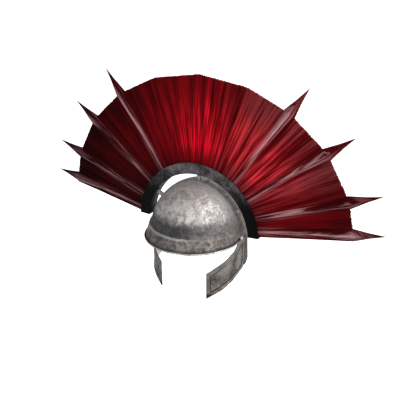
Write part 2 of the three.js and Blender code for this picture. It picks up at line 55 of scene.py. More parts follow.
# CAMERA
# The view looks down a little on the helmet from its front and left, with the whole crest in a
# square frame.
CAMERA_PLACE = (0.58213, -0.97516, 0.51889)
CAMERA_TILT = math.radians(67.3)
CAMERA_TURN = math.radians(29.69)
CAMERA_ANGLE = math.radians(40)

bpy.ops.object.camera_add(location=CAMERA_PLACE, rotation=(CAMERA_TILT, 0, CAMERA_TURN))
camera = bpy.context.object
camera.data.angle = CAMERA_ANGLE
bpy.context.scene.camera = camera
bpy.context.scene.view_settings.view_transform = "Standard"

# STUDIO
# A pale floor well below the helmet, which is held up as if worn, a large soft lamp above its left
# side, a second one before it, a weak third one beside it, and an even pale surround.
FLOOR_HEIGHT = -0.6
FLOOR_SIZE = 80
FLOOR_COLOUR = (0.93, 0.93, 0.93, 1)
LAMPS = [
    {"name": "top_lamp", "place": (1.85, 0.1, 1.7), "size": 1.9, "watts": 49},
    {"name": "front_lamp", "place": (0.2, -2.45, 1.3), "size": 2.1, "watts": 19},
    {"name": "side_lamp", "place": (2.5, -0.9, 0.7), "size": 1.2, "watts": 13},
]
LAMP_AIM = Vector((0, 0, 0.1))
SURROUND_SEEN = 1.0
SURROUND_LIGHT = 0.42

bpy.ops.mesh.primitive_plane_add(size=FLOOR_SIZE, location=(0, 0, FLOOR_HEIGHT))
floor = bpy.context.object
floor.name = "floor"
bpy.ops.object.transform_apply(location=True)
floor_paint = bpy.data.materials.new("floor_paint")
floor_paint.use_nodes = True
floor_shader = floor_paint.node_tree.nodes["Principled BSDF"]
floor_shader.inputs["Base Color"].default_value = FLOOR_COLOUR
floor_shader.inputs["Roughness"].default_value = 1
floor_shader.inputs["Specular IOR Level"].default_value = 0
floor_shader.inputs["Emission Color"].default_value = (1, 1, 1, 1)
floor_sight = floor_paint.node_tree.nodes.new("ShaderNodeLightPath")
floor_paint.node_tree.links.new(
    floor_sight.outputs["Is Camera Ray"], floor_shader.inputs["Emission Strength"]
)
floor.data.materials.append(floor_paint)

for lamp in LAMPS:
    aim = (LAMP_AIM - Vector(lamp["place"])).to_track_quat("-Z", "Y").to_euler()
    bpy.ops.object.light_add(type="AREA", location=lamp["place"], rotation=aim)
    bpy.context.object.name = lamp["name"]
    bpy.context.object.data.size = lamp["size"]
    bpy.context.object.data.energy = lamp["watts"]

world = bpy.data.worlds.new("studio")
bpy.context.scene.world = world
world.use_nodes = True
surround = world.node_tree.nodes["Background"]
sight = world.node_tree.nodes.new("ShaderNodeLightPath")
strength = world.node_tree.nodes.new("ShaderNodeMapRange")
strength.inputs["To Min"].default_value = SURROUND_LIGHT
strength.inputs["To Max"].default_value = SURROUND_SEEN
world.node_tree.links.new(sight.outputs["Is Camera Ray"], strength.inputs["Value"])
world.node_tree.links.new(strength.outputs["Result"], surround.inputs["Strength"])
surround.inputs["Color"].default_value = (1, 1, 1, 1)

# BOWL
# The bowl is one sheet of iron raised by hammer and planished: a round crown, a ridge, a brow that
# flares to the front and a neck guard that flares to the back. It is burnished on its outside.
BOWL_WALL = 0.002
CROWN_HEIGHT = 0.114
CROWN_HALF_WIDTH = 0.101
CROWN_REACH = 0.110
CROWN_BASE = 0.0105
COVE_HEIGHT = 0.038
COVE_FLARE = 1.5
RIDGE_HEIGHT = 0.022
RIDGE = {"half": 0.1035, "front": 0.111, "back": 0.112, "shoulder": 0.007}
BROW = {"half": 0.102, "front": 0.126, "back": 0.113, "shoulder": 0.025}
NECK = {"half": 0.0995, "front": 0.126, "back": 0.130, "shoulder": 0.025}
NECK_DROP = 0.0745
NECK_FLARE = 1.6
EAR_RISE = 0.0056
EAR_FRONT = 0.009
EAR_REAR = 0.0205
EAR_SLOPE = 0.013
NECK_CORNER = 0.007
CROWN_ROWS = 62
COVE_ROWS = 10
BROW_ROWS = 12
NECK_ROWS = 36
BOWL_COLUMNS = 288
BACK_SHARE = 0.46
SIDE_SHARE = 0.05
DENT_DEPTH = 0.0004
DENT_SIZE = 0.009
SHEET_EDGE_ROUND = 0.0003
EDGE_SEGMENTS = 2
SEAM_GAP = 0.00002


def mix(a, b, share):
    return a + (b - a) * share


def mix_rows(a, b, share):
    return {key: mix(a[key], b[key], share) for key in a}


def crown_ring(height):
    lift = min(1, (height - CROWN_BASE) / (CROWN_HEIGHT - CROWN_BASE))
    share = math.sqrt(1 - lift * lift)
    reach = CROWN_REACH * share
    return {"half": CROWN_HALF_WIDTH * share, "front": reach, "back": reach, "shoulder": 0}


def bowl_ring(height):
    if height >= COVE_HEIGHT:
        return crown_ring(height)
    if height >= RIDGE_HEIGHT:
        down = (COVE_HEIGHT - height) / (COVE_HEIGHT - RIDGE_HEIGHT)
        return mix_rows(crown_ring(COVE_HEIGHT), RIDGE, down**COVE_FLARE)
    if height >= 0:
        return mix_rows(RIDGE, BROW, 1 - height / RIDGE_HEIGHT)
    return mix_rows(BROW, NECK, (-height / NECK_DROP) ** NECK_FLARE)


def bowl_point(share, height, inset=0.0):
    """Share 0 is the middle of the back, 0.5 the middle of the front by the left side, then round."""
    side = 1 if share <= 0.5 else -1
    along = 2 * min(share, 1 - share)
    ring = bowl_ring(height)
    half = ring["half"] - inset
    if along < BACK_SHARE:
        turn = along / BACK_SHARE * math.pi / 2
        x, y = half * math.sin(turn), (ring["back"] - inset) * math.cos(turn)
    elif along < BACK_SHARE + SIDE_SHARE:
        x, y = half, -ring["shoulder"] * (along - BACK_SHARE) / SIDE_SHARE
    else:
        turn = (along - BACK_SHARE - SIDE_SHARE) / (1 - BACK_SHARE - SIDE_SHARE) * math.pi / 2
        x = half * math.cos(turn)
        y = -ring["shoulder"] - (ring["front"] - inset - ring["shoulder"]) * math.sin(turn)
    return Vector((side * x, y, height))


def select_only(*pieces):
    """Selects these pieces and nothing else, with the first one active."""
    bpy.ops.object.select_all(action="DESELECT")
    for piece in pieces:
        piece.select_set(True)
    bpy.context.view_layer.objects.active = pieces[0]


def edit_mode(obj):
    select_only(obj)
    bpy.ops.object.mode_set(mode="EDIT")
    bpy.ops.mesh.select_all(action="SELECT")


def object_mode():
    bpy.ops.object.mode_set(mode="OBJECT")


def turn_faces_out():
    bpy.ops.mesh.select_all(action="SELECT")
    bpy.ops.mesh.normals_make_consistent(inside=False)


def close_skin(obj):
    """Merges the seam and the poles, then turns every face outward."""
    edit_mode(obj)
    bpy.ops.mesh.remove_doubles(threshold=SEAM_GAP)
    turn_faces_out()
    object_mode()


def apply_modifier(obj, name, kind, **settings):
    modifier = obj.modifiers.new(name, kind)
    for key, value in settings.items():
        setattr(modifier, key, value)
    select_only(obj)
    bpy.ops.object.modifier_apply(modifier=modifier.name)


def round_edges(obj, width, sharper_than, **settings):
    """Rounds the edges that turn by more than an angle in degrees."""
    apply_modifier(
        obj, "edge", "BEVEL", width=width, segments=EDGE_SEGMENTS, limit_method="ANGLE",
        angle_limit=math.radians(sharper_than), **settings,
    )


def smooth(obj, below):
    """Shades smooth wherever two faces turn by less than an angle in degrees."""
    select_only(obj)
    bpy.ops.object.shade_smooth_by_angle(angle=math.radians(below))


def add_grid(name, columns, rows, place):
    """A grid of columns by rows, each vertex then set to place(column share, row share)."""
    bpy.ops.object.select_all(action="DESELECT")
    bpy.ops.mesh.primitive_grid_add(x_subdivisions=columns, y_subdivisions=rows, size=1)
    grid = bpy.context.object
    grid.name = grid.data.name = name
    for vertex in grid.data.vertices:
        column = round((vertex.co.x + 0.5) * columns)
        row = round((vertex.co.y + 0.5) * rows)
        vertex.co = place(column, row)
    return grid


def add_outline(name, points):
    """A flat face with the given corners."""
    bpy.ops.object.select_all(action="DESELECT")
    bpy.ops.mesh.primitive_circle_add(vertices=len(points), radius=1, fill_type="NGON")
    face = bpy.context.object
    face.name = face.data.name = name
    for vertex, point in zip(face.data.vertices, points):
        vertex.co = point
    return face


cove_turn = math.asin((COVE_HEIGHT - CROWN_BASE) / (CROWN_HEIGHT - CROWN_BASE))
bowl_heights = []
for i in range(CROWN_ROWS):
    turn = mix(math.pi / 2, cove_turn, i / CROWN_ROWS)
    bowl_heights.append(CROWN_BASE + (CROWN_HEIGHT - CROWN_BASE) * math.sin(turn))
for i in range(COVE_ROWS):
    bowl_heights.append(mix(COVE_HEIGHT, RIDGE_HEIGHT, i / COVE_ROWS))
for i in range(BROW_ROWS):
    bowl_heights.append(mix(RIDGE_HEIGHT, 0, i / BROW_ROWS))
for i in range(NECK_ROWS + 1):
    bowl_heights.append(-NECK_DROP * i / NECK_ROWS)

bowl = add_grid(
    "bowl_shell",
    BOWL_COLUMNS,
    len(bowl_heights) - 1,
    lambda column, row: bowl_point(column / BOWL_COLUMNS, bowl_heights[row]),
)
close_skin(bowl)
dents = bpy.data.textures.new("planished_dents", "CLOUDS")
dents.noise_scale = DENT_SIZE
dents.noise_depth = 1
apply_modifier(
    bowl, "planishing", "DISPLACE",
    texture=dents, texture_coords="LOCAL", strength=DENT_DEPTH, mid_level=0.5,
)
apply_modifier(bowl, "sheet", "SOLIDIFY", thickness=BOWL_WALL, offset=-1, use_even_offset=True)


def edge_height(y):
    share = min(1, max(0, (y + EAR_FRONT + EAR_SLOPE) / EAR_SLOPE))
    return EAR_RISE * share * share * (3 - 2 * share)


FAR = 0.3
SLOPE_STEPS = 14
CORNER_STEPS = 10
opening = [(-FAR, 0)]
for i in range(SLOPE_STEPS + 1):
    y = -EAR_FRONT - EAR_SLOPE * (1 - i / SLOPE_STEPS)
    opening.append((y, edge_height(y)))
opening.append((EAR_REAR, EAR_RISE))
for i in range(CORNER_STEPS + 1):
    turn = math.pi * (1 + 0.5 * i / CORNER_STEPS)
    y = EAR_REAR + NECK_CORNER * (1 + math.cos(turn))
    opening.append((y, -NECK_DROP + NECK_CORNER * (1 + math.sin(turn))))
opening += [(EAR_REAR + NECK_CORNER, -FAR), (-FAR, -FAR)]
cutter = add_outline("face_opening", [Vector((-FAR, y, z)) for y, z in opening])
edit_mode(cutter)
bpy.ops.mesh.extrude_region_move(TRANSFORM_OT_translate={"value": (2 * FAR, 0, 0)})
turn_faces_out()
object_mode()
apply_modifier(bowl, "face_cut", "BOOLEAN", object=cutter, operation="DIFFERENCE", solver="EXACT")
bpy.data.objects.remove(cutter)
round_edges(bowl, SHEET_EDGE_ROUND, sharper_than=55)
smooth(bowl, below=50)

# Each pattern of hammered marks holds the span of noise that shows and the tones that it gives
BLOTCHES = {"span": (0.34, 0.66), "gives": (0, 0.62)}
MARKS = {"span": (0.15, 0.75), "gives": (0.2, 0)}
GRAIN = {"span": (0.35, 0.65), "gives": (-0.1, 0.22)}
TONE_MEAN = 0.45
TONE_CENTRE = 0.5
MARK_HEIGHTS = {"span": (0, 0.8), "gives": (0, 0.7)}
GRAIN_HEIGHT = 0.3
GRAIN_PER_MARK = 4.0
ROUGHNESS_SPAN = (0.62, 0.36)


def set_inputs(tree, node, values):
    """An input's value may be a number, a colour or another node's output."""
    for key, value in values.items():
        if isinstance(value, bpy.types.NodeSocket):
            tree.links.new(value, node.inputs[key])
        else:
            node.inputs[key].default_value = value


def add_node(tree, kind, inputs=None, **settings):
    node = tree.nodes.new("ShaderNode" + kind)
    for key, value in settings.items():
        setattr(node, key, value)
    set_inputs(tree, node, inputs or {})
    return node


def add_math(tree, operation, a, b=0.0, c=0.0, clamp=False):
    node = add_node(tree, "Math", {0: a, 1: b, 2: c}, operation=operation, use_clamp=clamp)
    return node.outputs[0]


def add_range(tree, value, low, high, start=0.0, end=1.0, smooth_step=True):
    kind = "SMOOTHSTEP" if smooth_step else "LINEAR"
    inputs = {"Value": value, "From Min": low, "From Max": high, "To Min": start, "To Max": end}
    return add_node(tree, "MapRange", inputs, interpolation_type=kind).outputs["Result"]


def add_mix(tree, share, a, b):
    node = add_node(tree, "Mix", {0: share, 6: a, 7: b}, data_type="RGBA")
    return node.outputs[2]


def new_material(name, **constants):
    material = bpy.data.materials.new(name)
    material.use_nodes = True
    shader = material.node_tree.nodes["Principled BSDF"]
    for key, value in constants.items():
        shader.inputs[key.replace("_", " ")].default_value = value
    return material, material.node_tree, shader


def object_coordinates(tree):
    return add_node(tree, "TexCoord").outputs["Object"]


def add_pattern(tree, value, pattern, smooth_step=True):
    return add_range(tree, value, *pattern["span"], *pattern["gives"], smooth_step)


def make_group(name, inputs, outputs):
    """An empty node group with sockets of the given names and kinds, and its two ends."""
    group = bpy.data.node_groups.new(name, "ShaderNodeTree")
    for in_out, sockets in (("INPUT", inputs), ("OUTPUT", outputs)):
        for socket, kind in sockets.items():
            group.interface.new_socket(name=socket, in_out=in_out, socket_type="NodeSocket" + kind)
    source = group.nodes.new("NodeGroupInput").outputs
    target = group.nodes.new("NodeGroupOutput").inputs
    return group, source, target


def join_sockets(tree, shader, colour, roughness, height, depth):
    tree.links.new(colour, shader.inputs["Base Color"])
    tree.links.new(roughness, shader.inputs["Roughness"])
    bump = add_node(tree, "Bump", {"Height": height, "Distance": depth, "Strength": 1.0})
    tree.links.new(bump.outputs["Normal"], shader.inputs["Normal"])


def make_hammered_group():
    """Mottle of hammered iron: colour between a dark and a light tone, roughness and height."""
    group, source, target = make_group(
        "hammered_iron",
        {"Place": "Vector", "Dark": "Color", "Light": "Color", "Blotch Scale": "Float",
         "Mark Scale": "Float", "Contrast": "Float"},
        {"Colour": "Color", "Roughness": "Float", "Height": "Float"},
    )
    blotch = add_node(group, "TexNoise", {
        "Vector": source["Place"], "Scale": source["Blotch Scale"], "Detail": 4.0, "Roughness": 0.55,
        "Distortion": 0.6,
    }).outputs["Fac"]
    marks = add_node(group, "TexVoronoi", {
        "Vector": source["Place"], "Scale": source["Mark Scale"], "Smoothness": 0.6,
    }, feature="SMOOTH_F1").outputs["Distance"]
    grain = add_node(group, "TexNoise", {
        "Vector": source["Place"],
        "Scale": add_math(group, "MULTIPLY", source["Mark Scale"], GRAIN_PER_MARK),
        "Detail": 3.0, "Roughness": 0.6,
    }).outputs["Fac"]
    tone = add_math(group, "ADD", add_pattern(group, blotch, BLOTCHES),
                    add_pattern(group, marks, MARKS))
    tone = add_math(group, "ADD", tone, add_pattern(group, grain, GRAIN))
    aside = add_math(group, "SUBTRACT", tone, TONE_MEAN)
    tone = add_math(group, "MULTIPLY_ADD", aside, source["Contrast"], TONE_CENTRE, clamp=True)
    height = add_math(group, "ADD", add_pattern(group, marks, MARK_HEIGHTS),
                      add_math(group, "MULTIPLY", grain, GRAIN_HEIGHT))
    group.links.new(add_mix(group, tone, source["Dark"], source["Light"]), target["Colour"])
    group.links.new(add_range(group, tone, 0, 1, *ROUGHNESS_SPAN), target["Roughness"])
    group.links.new(height, target["Height"])
    return group


hammered_group = make_hammered_group()


def add_hammered(tree, place, tones):
    node = add_node(tree, "Group", node_tree=hammered_group)
    set_inputs(tree, node, {
        "Place": place, "Dark": tones["dark"], "Light": tones["light"],
        "Blotch Scale": tones["blotch"], "Mark Scale": tones["mark"], "Contrast": tones["contrast"],
    })
    return node.outputs


def make_iron(name, tones, relief, darkened=None, **constants):
    """Hammered iron, darkened over a span of heights where that is given."""
    material, tree, shader = new_material(name, **constants)
    place = object_coordinates(tree)
    iron = add_hammered(tree, place, tones)
    colour = iron["Colour"]
    if darkened:
        height = add_node(tree, "SeparateXYZ", {0: place}).outputs["Z"]
        share = add_range(tree, height, *darkened["heights"])
        colour = add_mix(tree, share, colour, darkened["colour"])
    join_sockets(tree, shader, colour, iron["Roughness"], iron["Height"], relief)
    return material


# The burnished crown is silvery; a belt of painted shade lies over the brow's ridge at the front, and
# the brow and the neck guard are browner.
CROWN_TONES = {"dark": (0.25, 0.23, 0.217, 1), "light": (0.72, 0.682, 0.66, 1),
               "blotch": 78.0, "mark": 190.0, "contrast": 1.1}
BROW_TONES = {"dark": (0.07, 0.058, 0.051, 1), "light": (0.3, 0.27, 0.25, 1),
              "blotch": 70.0, "mark": 170.0, "contrast": 1.0}
INSIDE_TONES = {"dark": (0.02, 0.018, 0.017, 1), "light": (0.1, 0.09, 0.085, 1),
                "blotch": 60.0, "mark": 150.0, "contrast": 1.0}
PAINTED_SHADE_COLOUR = (0.032, 0.032, 0.035, 1)
PAINTED_HIGHLIGHT_COLOUR = (0.62, 0.6, 0.585, 1)
NECK_COLOUR = (0.06, 0.048, 0.042, 1)
BOWL_DULLED = 0.1
BOWL_RELIEF = 0.0006
INSIDE_RELIEF = 0.0005
EDGE_WANDER = 0.006
WANDER_SCALE = 45.0
CROWN_EDGE = (0.0235, 0.0295)
BROWN_SIDES = (0.04, 0.095)
BROWN_REAR = (0.03, 0.09)
BROWN_SHARE = 0.75
# Each shade lies where all its spans do; "edge" is the height with a ragged edge
NECK_SHADE = [
    {"along": "Z", "span": (0.004, -0.015), "gives": (0, 1)},
    {"along": "Y", "span": (0.0, 0.015), "gives": (0, 0.78)},
]
# The belt is painted shade under the crown's bulge, fading toward the left side
BELT_PAINTED_SHADE = [
    {"along": "edge", "span": (0.0245, 0.0285), "gives": (0, 1)},
    {"along": "edge", "span": (0.066, 0.045), "gives": (0, 1)},
    {"along": "Y", "span": (0.0, -0.045), "gives": (0, 1)},
    {"along": "X", "span": (0.1, 0.02), "gives": (0.42, 0.9)},
]
# A thin line of painted shade in the crease just above the rim, at the front
CREASE_PAINTED_SHADE = [
    {"along": "Z", "span": (0.007, 0.0035), "gives": (0, 1)},
    {"along": "Y", "span": (-0.005, -0.03), "gives": (0, 0.6)},
]
# A line of painted highlight along the ridge, fading toward the left side
RIDGE_PAINTED_HIGHLIGHT = [
    {"along": "Z", "span": (0.0185, 0.0215), "gives": (0, 1)},
    {"along": "Z", "span": (0.0255, 0.0225), "gives": (0, 1)},
    {"along": "X", "span": (0.07, 0.0), "gives": (0.05, 0.45)},
]
# A painted highlight lies on the crown, brightest to the left of its front
PAINTED_HIGHLIGHT_PLACE = (0.07, -0.026, 0.095)
PAINTED_HIGHLIGHT = {"span": (0.09, 0.015), "gives": (0, 0.85)}
PAINTED_HIGHLIGHT_WHITENING = 0.5


def add_shade(tree, lines, colour, spans, shade):
    """Mixes a shade into a colour by the product of its spans along the given lines."""
    share = 1.0
    for row in spans:
        share = add_math(tree, "MULTIPLY", share, add_pattern(tree, lines[row["along"]], row))
    return add_mix(tree, share, colour, shade)


bowl_iron, tree, shader = new_material("bowl_iron", Metallic=0.7)
place = object_coordinates(tree)
axes = add_node(tree, "SeparateXYZ", {0: place}).outputs
crown = add_hammered(tree, place, CROWN_TONES)
brow = add_hammered(tree, place, BROW_TONES)
wander = add_node(tree, "TexNoise", {"Vector": place, "Scale": WANDER_SCALE, "Detail": 3.0})
edge_line = add_math(tree, "MULTIPLY_ADD", wander.outputs["Fac"], EDGE_WANDER, axes["Z"])
lines = {"X": axes["X"], "Y": axes["Y"], "Z": axes["Z"], "edge": edge_line}
low = add_range(tree, edge_line, *CROWN_EDGE)
colour = add_mix(tree, low, brow["Colour"], crown["Colour"])
rough_mix = add_node(tree, "Mix", {0: low, 2: brow["Roughness"], 3: crown["Roughness"]})
brown = add_math(tree, "MAXIMUM", add_range(tree, axes["X"], *BROWN_SIDES),
                 add_range(tree, axes["Y"], *BROWN_REAR))
brown = add_math(tree, "MULTIPLY", brown, BROWN_SHARE)
colour = add_mix(tree, brown, colour, brow["Colour"])
colour = add_shade(tree, lines, colour, NECK_SHADE, NECK_COLOUR)
# The painted highlight whitens the crown's colour around its place
from_painted_highlight = add_node(tree, "VectorMath", {0: place, 1: PAINTED_HIGHLIGHT_PLACE}, operation="DISTANCE")
painted_highlight = add_pattern(tree, from_painted_highlight.outputs["Value"], PAINTED_HIGHLIGHT)
highlight_colour = add_mix(tree, PAINTED_HIGHLIGHT_WHITENING, crown["Colour"], PAINTED_HIGHLIGHT_COLOUR)
colour = add_mix(tree, painted_highlight, colour, highlight_colour)
colour = add_shade(tree, lines, colour, BELT_PAINTED_SHADE, PAINTED_SHADE_COLOUR)
colour = add_shade(tree, lines, colour, CREASE_PAINTED_SHADE, PAINTED_SHADE_COLOUR)
colour = add_shade(tree, lines, colour, RIDGE_PAINTED_HIGHLIGHT, PAINTED_HIGHLIGHT_COLOUR)
roughness = add_math(tree, "ADD", rough_mix.outputs[0], BOWL_DULLED)
join_sockets(tree, shader, colour, roughness, crown["Height"], BOWL_RELIEF)

bowl.data.materials.append(bowl_iron)
bowl.data.materials.append(make_iron("bowl_inside", INSIDE_TONES, INSIDE_RELIEF, Metallic=0.6))
outer_side, inner_side = 0, 1
for face in bowl.data.polygons:
    outward = Vector((face.center.x, face.center.y, max(0, face.center.z - CROWN_BASE)))
    face.material_index = inner_side if face.normal.dot(outward) < 0 else outer_side
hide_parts("bowl")
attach(bowl, "helmet")

# BROW RIM
# The sheet's front edge is rolled outward over a wire, so that it is stiff and has no sharp edge.
# It runs from just before one ear, round the brow, to the other.
RIM_RADIUS = 0.0024
RIM_STEPS = 90
EAR_STEPS = 12
RIM_START = 1 / 6
RIM_BEND_STEPS = 6
RIM_TONES = {"dark": (0.24, 0.225, 0.213, 1), "light": (0.7, 0.67, 0.65, 1),
             "blotch": 60.0, "mark": 260.0, "contrast": 1.0}
# The top of the rolled rim, where it meets the bowl, is darkened as painted shade
RIM_CREASE_PAINTED_SHADE = {"heights": (0.0014, 0.0023), "colour": (0.035, 0.03, 0.028, 1)}
RIM_RELIEF = 0.0003

rim_inset = BOWL_WALL - RIM_RADIUS
rim_half = []
for i in range(EAR_STEPS):
    y = -EAR_FRONT - EAR_SLOPE * mix(RIM_START, 1, i / EAR_STEPS)
    height = edge_height(y)
    ring = bowl_ring(height)
    forward = max(0, -y - ring["shoulder"]) / (ring["front"] - rim_inset - ring["shoulder"])
    rim_half.append(Vector(((ring["half"] - rim_inset) * math.sqrt(1 - forward**2), y, height)))
front_start = (BACK_SHARE + SIDE_SHARE) / 2
for i in range(RIM_STEPS + 1):
    rim_half.append(bowl_point(mix(front_start, 0.5, i / RIM_STEPS), 0, rim_inset))
rim_path = rim_half + [Vector((-p.x, p.y, p.z)) for p in reversed(rim_half[:-1])]

bpy.ops.object.select_all(action="DESELECT")
bpy.ops.curve.primitive_nurbs_path_add()
rim = bpy.context.object
rim.name = rim.data.name = "brow_rim"
rim.data.splines.clear()
spline = rim.data.splines.new("POLY")
spline.points.add(len(rim_path) - 1)
for point, co in zip(spline.points, rim_path):
    point.co = (*co, 1)
rim.data.twist_mode = "Z_UP"
rim.data.bevel_depth = RIM_RADIUS
rim.data.bevel_resolution = RIM_BEND_STEPS
rim.data.use_fill_caps = True
bpy.ops.object.convert(target="MESH")
rim = bpy.context.object
close_skin(rim)
smooth(rim, below=60)

rim.data.materials.append(
    make_iron("rim_iron", RIM_TONES, RIM_RELIEF, RIM_CREASE_PAINTED_SHADE, Metallic=0.8)
)
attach(rim, "helmet")

# CREST BOX
# The crest is held in an iron channel, bent to an arc over the crown and closed at both ends. Its
# sides have a raised rim along both edges. It is blackened, and blackest toward its two ends.
ARC_HEIGHT = 0.0055
BOX_RISE = 0.0138
BOX_THICKNESS = 0.0233
BOX_DEPTH = 0.0274
BOX_HALF_ANGLE = math.radians(86.5)
BOX_FLOOR = 0.003
BOX_WALL = 0.0025
BOX_STEPS = 132
LIP_WIDTH = 0.0022
LIP_RAISE = 0.0006
BOX_EDGE_ROUND = 0.0005
FACING = 0.9
BOX_TONES = {"dark": (0.008, 0.0075, 0.0085, 1), "light": (0.19, 0.17, 0.178, 1),
             "blotch": 48.0, "mark": 120.0, "contrast": 1.0}
BOX_ENDS = {"heights": (0.138, 0.07), "colour": (0.002, 0.002, 0.0025, 1)}
BOX_RELIEF = 0.0005
BOX_INNER = CROWN_HEIGHT - ARC_HEIGHT + BOX_RISE
BOX_RADIUS = BOX_INNER + BOX_THICKNESS


def arc_point(angle, radius, y):
    return Vector((radius * math.sin(angle), y, ARC_HEIGHT + radius * math.cos(angle)))


def select_faces(obj, test):
    """Selects the faces that pass a test of centre and normal, in edit mode's face selection."""
    bpy.ops.mesh.select_all(action="DESELECT")
    bpy.ops.object.mode_set(mode="OBJECT")
    for face in obj.data.polygons:
        face.select = test(face.center, face.normal)
    bpy.ops.object.mode_set(mode="EDIT")


def from_arc(point):
    return Vector((point.x, 0, point.z - ARC_HEIGHT)).normalized()


half_depth = BOX_DEPTH / 2
box_section = [(BOX_INNER, -half_depth), (BOX_INNER, half_depth), (BOX_RADIUS, half_depth),
               (BOX_RADIUS, -half_depth)]
box = add_outline(
    "crest_channel", [arc_point(-BOX_HALF_ANGLE, radius, y) for radius, y in box_section],
)
edit_mode(box)
bpy.ops.mesh.spin(
    steps=BOX_STEPS, angle=2 * BOX_HALF_ANGLE, center=(0, 0, ARC_HEIGHT), axis=(0, -1, 0),
)
bpy.ops.mesh.select_all(action="SELECT")
bpy.ops.mesh.remove_doubles(threshold=SEAM_GAP)
turn_faces_out()
bpy.ops.mesh.select_mode(type="FACE")
for side in (-1, 1):
    select_faces(box, lambda centre, normal: normal.y * side > FACING)
    bpy.ops.mesh.inset(thickness=LIP_WIDTH)
    bpy.ops.mesh.inset(thickness=LIP_RAISE, depth=-LIP_RAISE)
select_faces(box, lambda centre, normal: normal.dot(from_arc(centre)) > FACING)
bpy.ops.mesh.inset(thickness=BOX_WALL)
bpy.ops.mesh.extrude_region_shrink_fatten(
    TRANSFORM_OT_shrink_fatten={"value": BOX_FLOOR - BOX_THICKNESS},
)
object_mode()
round_edges(box, BOX_EDGE_ROUND, sharper_than=35)
smooth(box, below=30)
box.data.materials.append(
    make_iron("box_iron", BOX_TONES, BOX_RELIEF, BOX_ENDS, Metallic=0.5, Specular_IOR_Level=0.15)
)
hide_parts("crest_box")
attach(box, "helmet")

# CREST POSTS
# Three turned iron posts carry the crest box on the bowl: one on the crown and one over each ear.
# Each has a foot ring riveted to the bowl and a shank let into the underside of the box.
POST_RADIUS = 0.0055
POST_SIDES = 40
POSTS = [
    {"name": "post_top", "node": "crest_post_top", "angle": 0, "foot": 0.1085},
    {"name": "post_left", "node": "crest_post_left", "angle": 59, "foot": 0.1040},
    {"name": "post_right", "node": "crest_post_right", "angle": -59, "foot": 0.1040},
]
POST_PROFILE = [
    {"radius": 0, "up": 0}, {"radius": 0.96, "up": 0}, {"radius": 1.06, "up": 0.03},
    {"radius": 1.06, "up": 0.12}, {"radius": 0.98, "up": 0.16}, {"radius": 0.9, "up": 0.18},
    {"radius": 0.88, "up": 0.4}, {"radius": 0.88, "up": 0.76}, {"radius": 0.94, "up": 0.8},
    {"radius": 1, "up": 0.84}, {"radius": 1, "up": 1}, {"radius": 0, "up": 1},
]

POST_TONES = {"dark": (0.2, 0.2, 0.196, 1), "light": (0.62, 0.61, 0.595, 1),
              "blotch": 130.0, "mark": 380.0, "contrast": 1.0}
POST_RELIEF = 0.0003
FIT_GAP = 0.0003

post_iron = make_iron("post_iron", POST_TONES, POST_RELIEF, Metallic=0.65)
for row in POSTS:
    top = BOX_INNER - FIT_GAP
    around = 2 * math.pi / POST_SIDES
    post = add_grid(
        row["name"],
        POST_SIDES,
        len(POST_PROFILE) - 1,
        lambda column, step: Vector((
            POST_RADIUS * POST_PROFILE[step]["radius"] * math.cos(column * around),
            POST_RADIUS * POST_PROFILE[step]["radius"] * math.sin(column * around),
            mix(row["foot"], top, POST_PROFILE[step]["up"]),
        )),
    )
    close_skin(post)
    post.data.transform(Matrix.Rotation(math.radians(row["angle"]), 4, "Y"))
    post.data.transform(Matrix.Translation((0, 0, ARC_HEIGHT)))
    smooth(post, below=35)
    post.data.materials.append(post_iron)
    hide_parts(row["node"])
    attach(post, "helmet")

# CREST FAN
# The crest is stiff horsehair, dyed red and set upright in the box. Its outer edge is trimmed
# straight between corners, and its hairs stand in fine strands that fan out from the box.
CREST_RADIUS = 0.324
CREST_RIM_HALF = 0.0035
CREST_END_ANGLE = math.radians(82.3)
BOX_END_WALL = 0.003
CREST_OUTLINE = [
    {"turn": 0, "rim": 1, "tip": 0}, {"turn": 0.227, "rim": 1.005, "tip": 0},
    {"turn": 0.434, "rim": 1.021, "tip": 0.981}, {"turn": 0.645, "rim": 1.043, "tip": 0.999},
    {"turn": 0.845, "rim": 1.05, "tip": 1.012}, {"turn": 0.976, "rim": 1.039, "tip": 0.996},
    {"turn": 1, "rim": 1.039, "tip": 0},
]
FAN_THINNING = [
    {"out": 0, "thinned": 0}, {"out": 0.25, "thinned": 0.3}, {"out": 0.6, "thinned": 0.7},
    {"out": 1, "thinned": 1},
]
FAN_COLUMNS = 820
FAN_ROWS = 22
STRAND_RELIEF = 0.0011
# Noise gathers the strands: its scale across and outward, its slice, and its weight in the relief
CLUMPS = [
    {"across": 46, "out": 2.2, "slice": 3, "weight": 0.75},
    {"across": 170, "out": 4, "slice": 9, "weight": 0.45},
]
STRAND_WEIGHT = 0.35
RELIEF_RISE = 6
RIM_RELIEF_LEFT = 0.6
TRIM_UNEVEN = 0.0009
FAN_DEPTH = 0.18
LONGEST_REACH = 1.006
HAIR_SEED = 7

hair_random = random.Random(HAIR_SEED)
seat_radius = BOX_INNER + BOX_FLOOR + FIT_GAP
seat_angle = BOX_HALF_ANGLE - (BOX_END_WALL + FIT_GAP) / seat_radius
root_half = BOX_DEPTH / 2 - BOX_WALL - FIT_GAP
strand_lift = [hair_random.uniform(-1, 1) for _ in range(FAN_COLUMNS + 1)]
strand_length = [hair_random.uniform(-1, 1) for _ in range(FAN_COLUMNS + 1)]


def look_up(rows, key, value, at):
    """Reads a table's column at a place along another, in straight steps."""
    for low, high in zip(rows, rows[1:]):
        if at <= high[key]:
            break
    share = min(1, max(0, (at - low[key]) / (high[key] - low[key])))
    return mix(low[value], high[value], share)


def rim_point(turn):
    """The trimmed edge is straight between the outline's corners."""
    side = -1 if turn < 0 else 1
    for low, high in zip(CREST_OUTLINE, CREST_OUTLINE[1:]):
        if abs(turn) <= high["turn"]:
            break
    ends = [
        arc_point(side * row["turn"] * CREST_END_ANGLE, row["rim"] * CREST_RADIUS, 0)
        for row in (low, high)
    ]
    return ends[0].lerp(ends[1], (abs(turn) - low["turn"]) / (high["turn"] - low["turn"]))


